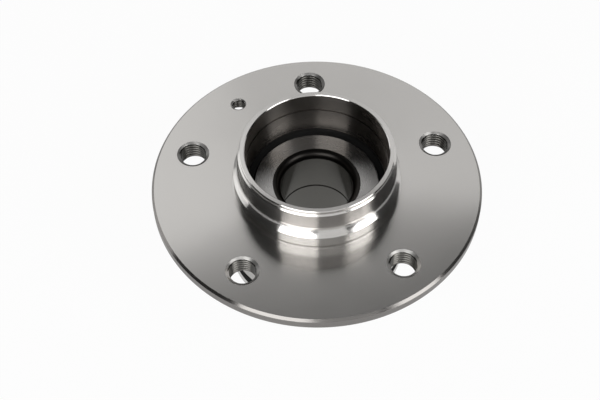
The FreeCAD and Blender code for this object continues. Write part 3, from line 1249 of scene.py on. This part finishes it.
@dataclass
class PhotoCamera:
    """The photograph's camera, which looks at the spin axis from the wheel side.

    Its distance and its shifts are multiples of the flange's radius. Its frame is 600 by 400
    pixels, its sensor's width is in millimetres, and it sees from nearest to farthest in metres.
    """

    elevation: float = math.radians(52.95)
    roll: float = math.radians(0.527)
    turn: float = math.radians(-2.47)
    distance: float = 7.049
    shift_right: float = 0.1012
    shift_up: float = 0.1237
    focal_pixels: float = 1161.6
    frame_width: int = 600
    sensor: float = 36.0
    nearest: float = 0.01
    farthest: float = 20.0

    def build(self, flange_radius: float) -> Piece:
        """Return the camera.

        The object's origin is seen at shift_right and shift_up from the middle of the frame.

        Args:
            flange_radius: The flange's radius in metres.

        Returns:
            The camera object, which is made the scene's own.
        """
        forward = Vector((0.0, math.cos(self.elevation), -math.sin(self.elevation)))
        level_up = Vector((0.0, math.sin(self.elevation), math.cos(self.elevation)))
        right = math.cos(self.roll) * Vector((1.0, 0.0, 0.0)) - math.sin(self.roll) * level_up
        up = math.sin(self.roll) * Vector((1.0, 0.0, 0.0)) + math.cos(self.roll) * level_up
        place = (-self.shift_right * right - self.shift_up * up - self.distance * forward) * flange_radius
        axes = Matrix((right, up, -forward)).transposed().to_4x4()
        camera_data = bpy.data.cameras.new("photo_camera")
        camera_data.sensor_width = self.sensor
        camera_data.lens = self.focal_pixels * self.sensor / self.frame_width
        camera_data.clip_start = self.nearest
        camera_data.clip_end = self.farthest
        camera = linked("photo_camera", camera_data)
        camera.matrix_world = Matrix.Rotation(self.turn, 4, "Z") @ Matrix.Translation(place) @ axes
        bpy.context.scene.camera = camera
        return camera


@dataclass(frozen=True)
class SoftLamp:
    """A large soft lamp that looks at the object from an azimuth and an elevation, in degrees.

    It spans the angles wide and high, so a side is 2 distance tan(angle / 2), and glow is how
    bright it looks, 1 being white. Its distance is in metres.
    """

    name: str
    azimuth: float
    elevation: float
    wide: float
    high: float
    glow: float
    roll: float = 0.0
    distance: float = 1.5

    def build(self, target: Vector) -> Piece:
        """Return the lamp, aimed at a target."""
        azimuth = math.radians(self.azimuth)
        elevation = math.radians(self.elevation)
        towards = Vector((
            math.sin(azimuth) * math.cos(elevation),
            -math.cos(azimuth) * math.cos(elevation),
            math.sin(elevation),
        ))
        lamp = bpy.data.lights.new(self.name, "AREA")
        lamp.shape = "RECTANGLE"
        lamp.size = 2 * self.distance * math.tan(math.radians(self.wide) / 2)
        lamp.size_y = 2 * self.distance * math.tan(math.radians(self.high) / 2)
        lamp.energy = WATTS_PER_GLOW * lamp.size * lamp.size_y * self.glow
        made = linked(self.name, lamp)
        facing = towards.to_track_quat("Z", "Y").to_matrix().to_4x4()
        roll = Matrix.Rotation(math.radians(self.roll), 4, "Z")
        made.matrix_world = Matrix.Translation(target + towards * self.distance) @ facing @ roll
        return made


@dataclass
class Studio:
    """A pale floor, a dim even sky and large lamps.

    Azimuth 0 is the camera's side and 90 is +X. The lamps stand where the photograph's steel
    mirrors light, and the gaps between them where it is dark. A lamp's numbers are azimuth,
    elevation, width and height in degrees, and glow.
    """

    floor_colour: Colour = (0.86, 0.86, 0.86)
    floor_size: float = 12.0
    floor_white: float = 0.95
    floor_gleam: float = 0.45
    sky: float = 0.02
    lamps: Tuple[SoftLamp, ...] = (
        SoftLamp("back_panel", 180.0, 37.0, 60.0, 40.0, 0.6, roll=8.5),
        SoftLamp("back_left", -162.0, 43.0, 18.0, 28.0, 0.13),
        SoftLamp("back_top", 180.0, 74.0, 50.0, 28.0, 0.045),
        SoftLamp("front_left", -27.0, 28.0, 37.0, 54.0, 2.7),
        SoftLamp("front_middle", 14.0, 28.0, 34.0, 54.0, 0.6),
        SoftLamp("front_right", 56.0, 28.0, 26.0, 54.0, 2.7),
        SoftLamp("left_low", -112.0, 9.0, 40.0, 18.0, 1.2),
        SoftLamp("right_low", 130.0, 6.0, 34.0, 16.0, 0.7),
    )

    def build(self, ground: float) -> None:
        """Build the floor, the sky and the lamps.

        Args:
            ground: The height that the object stands on, in metres.
        """
        scene = bpy.context.scene
        scene.view_settings.view_transform = "Standard"
        corners = np.array([[-1, -1, 0], [1, -1, 0], [1, 1, 0], [-1, 1, 0]]) * self.floor_size / 2
        floor = mesh_object("floor", corners + [0, 0, ground], [[0, 1, 2, 3]])
        floor.data.materials.append(self.floor_finish())
        self.build_sky(scene)
        for lamp in self.lamps:
            lamp.build(Vector((0.0, 0.0, 0.0)))

    def floor_finish(self) -> Material:
        """Return pale paper. The camera sees it nearly white, and the steel sees it dimmer.

        White is mixed in by floor_white for camera and transmission rays and by floor_gleam for
        glossy rays. The rest is plain paper, which keeps the object's soft shadow.
        """
        nodes = Nodes("pale_paper")
        paper = nodes.add("ShaderNodeBsdfDiffuse")
        paper.inputs["Color"].default_value = dimmed(self.floor_colour)
        white = nodes.add("ShaderNodeEmission")
        white.inputs["Strength"].default_value = 1.0
        path = nodes.add("ShaderNodeLightPath").outputs
        straight = nodes.math("MAXIMUM", path["Is Camera Ray"], path["Is Transmission Ray"])
        share = nodes.math("MULTIPLY", straight, self.floor_white)
        gleam = nodes.math("MULTIPLY", path["Is Glossy Ray"], self.floor_gleam)
        blend = nodes.add("ShaderNodeMixShader")
        parts = (nodes.math("MAXIMUM", share, gleam), paper.outputs[0], white.outputs[0])
        for target, part in zip(blend.inputs, parts):
            nodes.feed(target, part)
        nodes.feed(nodes.output.inputs["Surface"], blend.outputs[0])
        return nodes.material

    def build_sky(self, scene: bpy.types.Scene) -> None:
        """Give the world a dim even grey."""
        world = bpy.data.worlds.new("studio")
        world.use_nodes = True
        background = world.node_tree.nodes["Background"]
        background.inputs["Color"].default_value = (1.0, 1.0, 1.0, 1.0)
        background.inputs["Strength"].default_value = self.sky
        scene.world = world


@dataclass(frozen=True)
class Finishes:
    """Every finish of the hub unit. That of a zone has the zone's name.

    Each one's numbers stand in the order of its class's fields.
    """

    wall: Turned = Turned("ground_wall_steel", (0.66, 0.645, 0.625), 0.19, 0.95, 0.30, 0.001, 0.08)
    pilot: Turned = Turned("ground_pilot_steel", (0.42, 0.405, 0.39), 0.22, 0.95, 0.30, 0.001, 0.08)
    face: Turned = Turned("turned_face_steel", (0.60, 0.585, 0.565), 0.17, 0.9, 0.35, 0.001, 0.15)
    # Painted shade: the rim band is coloured far darker than the other turned faces, so that where it
    # mirrors the floor it looks as dim as in shade.
    rim: Turned = Turned("rim_steel_painted_shade", (0.25, 0.24, 0.23), 0.25, 0.9, 0.3, 0.001, 0.2)
    back: Turned = Turned("turned_back_steel", (0.52, 0.51, 0.49), 0.32, 0.5, 0.5, 0.012, 0.6)
    race: Turned = Turned("ground_race_steel", (0.60, 0.59, 0.58), 0.12, 0.8, 0.2, 0.001, 0.2)
    # Painted shade: the cavity inside the collar is coloured far darker than the turned steel outside, for
    # the shade in the recess.
    cavity: Turned = Turned("cavity_steel_painted_shade", (0.20, 0.185, 0.17), 0.28, 0.95, 0.6, 0.001, 0.04)
    # Painted shade: the threads are coloured nearly black for the shade inside the holes.
    thread: Turned = Turned("thread_steel_painted_shade", (0.15, 0.145, 0.135), 0.24, 0.0, 0.4, 0.001, 0.2)
    ground: Turned = Turned("ground_ring_steel", (0.45, 0.44, 0.43), 0.27, 0.95, 0.6, 0.001, 0.04)
    # Painted shade: the inner rings' bore is coloured much darker than their ground faces, for the shade
    # down the bore.
    bore: Turned = Turned("bore_steel_painted_shade", (0.22, 0.215, 0.20), 0.24, 0.95, 0.2, 0.001, 0.05)
    # Nearly black lead-in and split bevels; on the split bevels this is painted shade in the groove
    # between the rings.
    scale: Turned = Turned("hardened_scale", (0.03, 0.028, 0.026), 0.32, 0.3, 0.3, 0.002, 0.3)
    bevel: Plain = Plain("countersunk_steel", (0.50, 0.49, 0.475), 0.38, 0.5, 0.001)
    ball: Plain = Plain("lapped_ball_steel", (0.78, 0.78, 0.78), 0.06, 0.8, 0.001)
    pressed: Plain = Plain("pressed_sheet_steel", (0.62, 0.615, 0.60), 0.22, 0.25, 0.006)
    cage: Moulded = Moulded("moulded_cage_polyamide", (0.16, 0.13, 0.09), 0.55, 0.25, 0.02)
    lips: Moulded = Moulded("moulded_seal_rubber", (0.008, 0.008, 0.008), 0.55, 0.2, 0.01, 0.1)
    band: Moulded = Moulded("moulded_encoder_rubber", (0.006, 0.006, 0.006), 0.85, 0.3, 0.01, 0.1)

    def made(self, zones: Type[IntEnum]) -> Dict[IntEnum, Material]:
        """Return a material for each zone, from the finish that has the zone's name."""
        return {zone: getattr(self, zone.name.lower()).make() for zone in zones}


def main() -> None:
    """Build the hub unit, its studio and its camera in order."""
    logging.basicConfig(level=logging.INFO, format="%(name)s: %(message)s")
    finishes = Finishes()
    bearing = Bearing()
    ring_finishes = finishes.made(RingZone)
    ground = ring_finishes[RingZone.GROUND]
    pressed = finishes.pressed.make()
    rubber = finishes.lips.make()
    lapped = finishes.ball.make()
    polyamide = finishes.cage.make()

    hub = Hub(bearing)
    hub.dress(finishes.made(Zone))
    Encoder(hub).dress(pressed, finishes.band.make())
    for row in Row:
        InnerRing(bearing, row).dress(ring_finishes)
        Seal(bearing, row).dress(rubber, ground, pressed)
        BallRow(bearing, row).dress(lapped, polyamide)

    Studio().build(cad_box[0][2])
    PhotoCamera().build(node_reach("hub")[0] * METRES)


if __name__ == "__main__":
    main()
